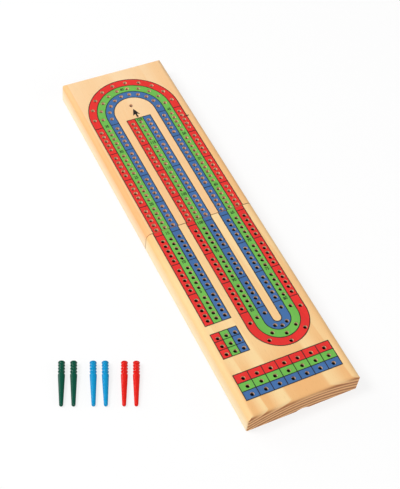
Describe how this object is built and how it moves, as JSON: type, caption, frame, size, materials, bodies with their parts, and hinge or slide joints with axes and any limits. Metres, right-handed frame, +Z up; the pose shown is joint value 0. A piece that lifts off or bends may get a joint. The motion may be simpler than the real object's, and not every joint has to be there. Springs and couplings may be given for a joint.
{
  "type": "folding cribbage board",
  "caption": "Folding pine cribbage board, open flat: two hinged halves with drilled scoring tracks above, hollows for cards and pegs below, and tapered ribbed pegs beside it.",
  "frame": {"origin": "on the underside plane of the board, on the fold line between its halves, midway across its width", "axes": "+X to the right across the board, +Y along the board from the half with the starting block towards the finishing hole, +Z up out of the scoring face"},
  "size_m": [0.2212, 0.376, 0.0202],
  "materials": {
    "pine": "smooth planed pine under thin clear lacquer, with printed track colours in the visual model",
    "hinge_brass": "satin pressed sheet brass",
    "pin_steel": "drawn wire",
    "screw_brass": "turned brass",
    "magnet_nickel": "nickel plate",
    "peg_green": "moulded, glossy",
    "peg_blue": "moulded, glossy",
    "peg_red": "moulded, glossy"
  },
  "bodies": {
    "near_board": {"near_half": "pine", "left_hinge_near_leaf": "hinge_brass", "left_hinge_pin": "pin_steel", "right_hinge_near_leaf": "hinge_brass", "right_hinge_pin": "pin_steel", "near_hinge_screws": "screw_brass", "near_magnet_left": "magnet_nickel", "near_magnet_right": "magnet_nickel"},
    "far_board": {"far_half": "pine", "left_hinge_far_leaf": "hinge_brass", "right_hinge_far_leaf": "hinge_brass", "far_hinge_screws": "screw_brass", "far_magnet_left": "magnet_nickel", "far_magnet_right": "magnet_nickel"},
    "peg_green_1": {"peg_green_1": "peg_green"},
    "peg_green_2": {"peg_green_2": "peg_green"},
    "peg_blue_1": {"peg_blue_1": "peg_blue"},
    "peg_blue_2": {"peg_blue_2": "peg_blue"},
    "peg_red_1": {"peg_red_1": "peg_red"},
    "peg_red_2": {"peg_red_2": "peg_red"}
  },
  "joints": [
    {"name": "fold", "type": "hinge", "parent": "near_board", "child": "far_board", "pos_m": [0, 0, 0], "axis": [-1, 0, 0], "range_deg": [0, 180]},
    {"name": "lift_peg_green_1", "type": "slide", "parent": "near_board", "child": "peg_green_1", "axis": [0, 0, 1], "range_m": [0, 0.06]},
    {"name": "lift_peg_green_2", "type": "slide", "parent": "near_board", "child": "peg_green_2", "axis": [0, 0, 1], "range_m": [0, 0.06]},
    {"name": "lift_peg_blue_1", "type": "slide", "parent": "near_board", "child": "peg_blue_1", "axis": [0, 0, 1], "range_m": [0, 0.06]},
    {"name": "lift_peg_blue_2", "type": "slide", "parent": "near_board", "child": "peg_blue_2", "axis": [0, 0, 1], "range_m": [0, 0.06]},
    {"name": "lift_peg_red_1", "type": "slide", "parent": "near_board", "child": "peg_red_1", "axis": [0, 0, 1], "range_m": [0, 0.06]},
    {"name": "lift_peg_red_2", "type": "slide", "parent": "near_board", "child": "peg_red_2", "axis": [0, 0, 1], "range_m": [0, 0.06]}
  ]
}
